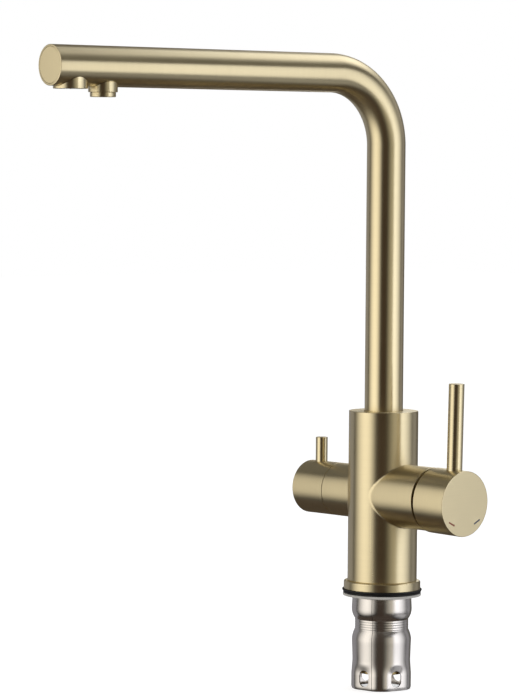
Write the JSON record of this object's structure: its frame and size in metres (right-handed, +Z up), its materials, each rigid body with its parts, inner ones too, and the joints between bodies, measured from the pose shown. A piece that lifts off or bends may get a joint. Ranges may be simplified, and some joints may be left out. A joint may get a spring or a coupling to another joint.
{
  "type": "three way filtered water tap",
  "caption": "Deck-mounted kitchen tap with a bent round spout, separate mixed and filtered outlets, a mixer lever on one side and a quarter-turn filter lever on the other.",
  "frame": {"origin": "centre of the base gasket's underside, on the worktop's top face and on the body's axis", "axes": "+Z up along the body's axis, +X towards the mixer handle, -X towards the filter handle, -Y towards the user; the stored spout points to -Y, swivelled 5.3 degrees towards -X"},
  "size_m": [0.142, 0.2861, 0.4104],
  "materials": {
    "brushed_brass": "satin brushed champagne brass",
    "raw_brass": "turned, unplated",
    "stainless": "drawn stainless tube, semi-bright",
    "steel": "plain steel",
    "black_rubber": "moulded rubber",
    "pale_fibre": "pale fibre",
    "white_plastic": "moulded acetal",
    "grey_plastic": "moulded plastic",
    "red_enamel": "filled enamel line",
    "blue_enamel": "filled enamel line"
  },
  "bodies": {
    "tap_body": {"body": "brushed_brass", "base_ring": "brushed_brass", "base_gasket": "black_rubber", "threaded_shank": "raw_brass", "spout_slide_ring": "grey_plastic", "spout_retaining_screw": "steel", "filter_tube_seal": "black_rubber", "cartridge_seal": "black_rubber", "cartridge_housing": "grey_plastic", "cartridge_nut": "raw_brass", "filter_valve_body": "raw_brass", "filter_valve_seal": "black_rubber"},
    "spout": {"spout_tube": "brushed_brass", "spout_end_plug": "brushed_brass", "filter_outlet_boss": "brushed_brass", "filter_stream_former": "white_plastic", "aerator_socket": "brushed_brass", "aerator_housing": "brushed_brass", "aerator_insert": "white_plastic", "aerator_washer": "black_rubber", "filter_water_tube": "white_plastic", "spout_base_bush": "raw_brass", "spout_seal_lower": "black_rubber", "spout_seal_upper": "black_rubber"},
    "mixer_rotor": {"cartridge_rotor": "white_plastic", "cartridge_pivot_pin": "steel"},
    "mixer_handle": {"cartridge_stem": "raw_brass", "mixer_handle_cap": "brushed_brass", "mixer_lever_pin": "brushed_brass", "mixer_grub_screw": "steel", "hot_mark": "red_enamel", "cold_mark": "blue_enamel"},
    "filter_handle": {"filter_valve_spindle": "raw_brass", "filter_knob": "brushed_brass", "filter_lever_pin": "brushed_brass", "filter_grub_screw": "steel"},
    "clamp": {"clamp_washer": "pale_fibre"},
    "nut": {"sleeve_nut": "stainless"}
  },
  "joints": [
    {"name": "spout_swivel", "type": "hinge", "parent": "tap_body", "child": "spout", "pos_m": [0, 0, 0.1], "axis": [0, 0, 1], "continuous": true},
    {"name": "mixer_temperature", "type": "hinge", "parent": "tap_body", "child": "mixer_rotor", "pos_m": [0.037, 0, 0.064], "axis": [1, 0, 0], "range_deg": [-45, 45]},
    {"name": "mixer_flow", "type": "hinge", "parent": "mixer_rotor", "child": "mixer_handle", "pos_m": [0.037, 0, 0.064], "axis": [0, 1, 0], "range_deg": [0, 21]},
    {"name": "filter_turn", "type": "hinge", "parent": "tap_body", "child": "filter_handle", "pos_m": [-0.03966, 0, 0.064], "axis": [1, 0, 0], "range_deg": [0, 90]},
    {"name": "nut_travel", "type": "slide", "parent": "tap_body", "child": "clamp", "axis": [0, 0, -1], "range_m": [0, 0.022]},
    {"name": "nut_spin", "type": "hinge", "parent": "clamp", "child": "nut", "pos_m": [0, 0, -0.02], "axis": [0, 0, -1], "range_deg": [0, 5281]}
  ],
  "couplings": [
    {"joint": "nut_spin", "follows": "nut_travel", "rad_per_m": 4188.8}
  ]
}
